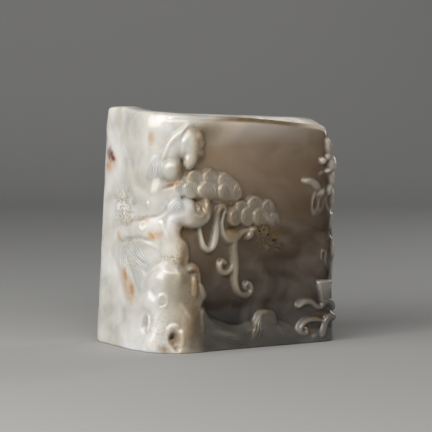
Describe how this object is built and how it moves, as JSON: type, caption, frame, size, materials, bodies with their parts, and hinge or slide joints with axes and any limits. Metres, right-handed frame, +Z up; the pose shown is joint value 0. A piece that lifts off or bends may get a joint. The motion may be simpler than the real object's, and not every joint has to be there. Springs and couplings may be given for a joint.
{
  "type": "jade brush pot",
  "caption": "Hollow rounded-rectangular brush pot of pale jade with a wavy rim, carved outside with a pine tree, hanging vines, rocks and fungus.",
  "frame": {"origin": "centre of the flat underside that the pot stands on", "axes": "+Z up along the height, +Y from the carved front face to the plain back, +X to the right of the front"},
  "size_m": [0.1026, 0.066, 0.1118],
  "materials": {
    "jade": "polished"
  },
  "bodies": {
    "root": {"brush_pot": "jade"}
  },
  "joints": []
}
